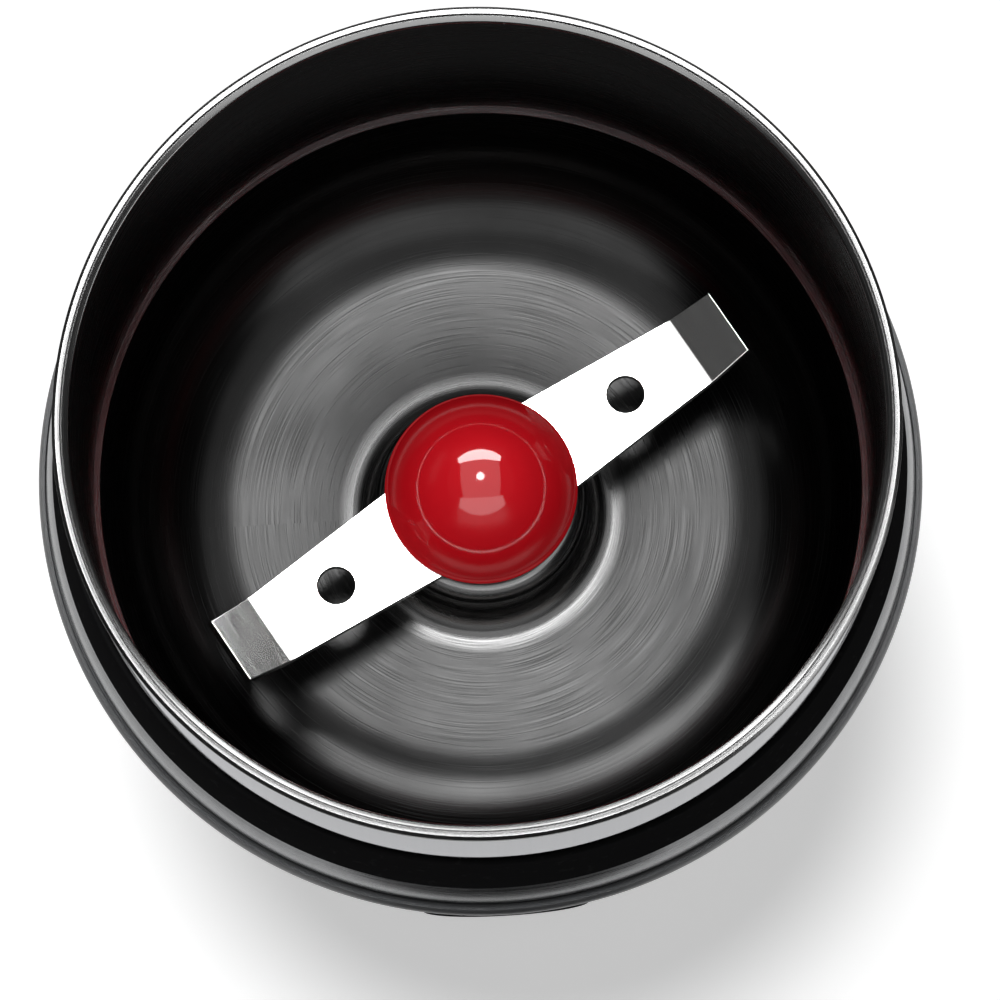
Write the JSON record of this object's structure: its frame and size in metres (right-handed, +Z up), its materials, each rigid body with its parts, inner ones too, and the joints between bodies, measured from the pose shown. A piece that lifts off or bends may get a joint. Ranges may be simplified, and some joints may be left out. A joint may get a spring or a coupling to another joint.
{
  "type": "electric spice grinder",
  "caption": "Electric spice grinder without its lid: a tapered motor base, a lift-out steel bowl with a dark collar, and a two-winged blade under a red domed cap.",
  "frame": {"origin": "on the table under the middle of the grinder, level with the undersides of its feet", "axes": "+Z up along the blade's shaft, -Y to the front with the push button, +X to the right seen from the front"},
  "size_m": [0.0982, 0.0982, 0.131],
  "materials": {
    "cup_steel": "drawn stainless steel, satin inside",
    "sleeve_chrome": "polished",
    "band_black": "glossy",
    "grip_grey": "satin",
    "housing_dark": "fine moulded satin",
    "inner_plastic": "moulded",
    "cap_red": "glossy, slightly see-through",
    "blade_steel": "polished, fine grinding lines",
    "machined_steel": "turned",
    "zinc_casting": "as cast",
    "lamination_steel": "stacked laminations",
    "copper_wire": "enamelled copper wire",
    "bronze": "sintered",
    "carbon": "pressed carbon",
    "black_rubber": "matte",
    "grey_rubber": "matte",
    "nylon_white": "natural nylon",
    "button_grey": "satin gloss"
  },
  "bodies": {
    "base": {"housing_shell": "housing_dark", "well_liner": "inner_plastic", "base_cover": "inner_plastic", "rubber_feet": "black_rubber", "base_screws": "machined_steel", "cord_gland": "black_rubber", "button_bezel": "band_black", "power_switch": "inner_plastic", "upper_bracket": "zinc_casting", "lower_bracket": "zinc_casting", "lower_bearing": "machined_steel", "upper_bearing": "machined_steel", "stator_core": "lamination_steel", "field_coils": "copper_wire", "motor_screws": "machined_steel", "motor_mounts": "grey_rubber", "mount_screws": "machined_steel", "brush_holders": "nylon_white", "carbon_brushes": "carbon", "brush_springs": "machined_steel"},
    "rotor": {"rotor_shaft": "machined_steel", "armature_core": "lamination_steel", "armature_windings": "copper_wire", "commutator": "copper_wire", "cooling_fan": "nylon_white", "drive_dog": "nylon_white"},
    "bowl": {"grinding_cup": "cup_steel", "rim_sleeve": "sleeve_chrome", "collar_band": "band_black", "grip_ring": "grip_grey", "cup_base": "inner_plastic", "bearing_hub": "nylon_white", "hub_washer": "machined_steel", "lower_bush": "bronze", "upper_bush": "bronze", "shaft_seal": "black_rubber", "hub_screws": "machined_steel"},
    "blade": {"blade_shaft": "machined_steel", "grinding_blade": "blade_steel", "blade_washer": "machined_steel", "blade_nut": "machined_steel", "blade_cap": "cap_red", "driven_dog": "nylon_white", "thrust_washer": "bronze"},
    "button": {"push_button": "button_grey"}
  },
  "joints": [
    {"name": "rotor_spin", "type": "hinge", "parent": "base", "child": "rotor", "pos_m": [0, 0, 0.038], "axis": [0, 0, 1], "continuous": true},
    {"name": "bowl_lift", "type": "slide", "parent": "base", "child": "bowl", "axis": [0, 0, 1], "range_m": [0, 0.06]},
    {"name": "blade_spin", "type": "hinge", "parent": "bowl", "child": "blade", "pos_m": [0, 0, 0.082], "axis": [0, 0, 1], "continuous": true},
    {"name": "button_press", "type": "slide", "parent": "base", "child": "button", "axis": [0, 1, 0], "range_m": [0, 0.0025], "stiffness_N_per_m": 500, "springref_m": -0.002}
  ],
  "couplings": [
    {"joint": "blade_spin", "follows": "rotor_spin", "ratio": 1}
  ]
}
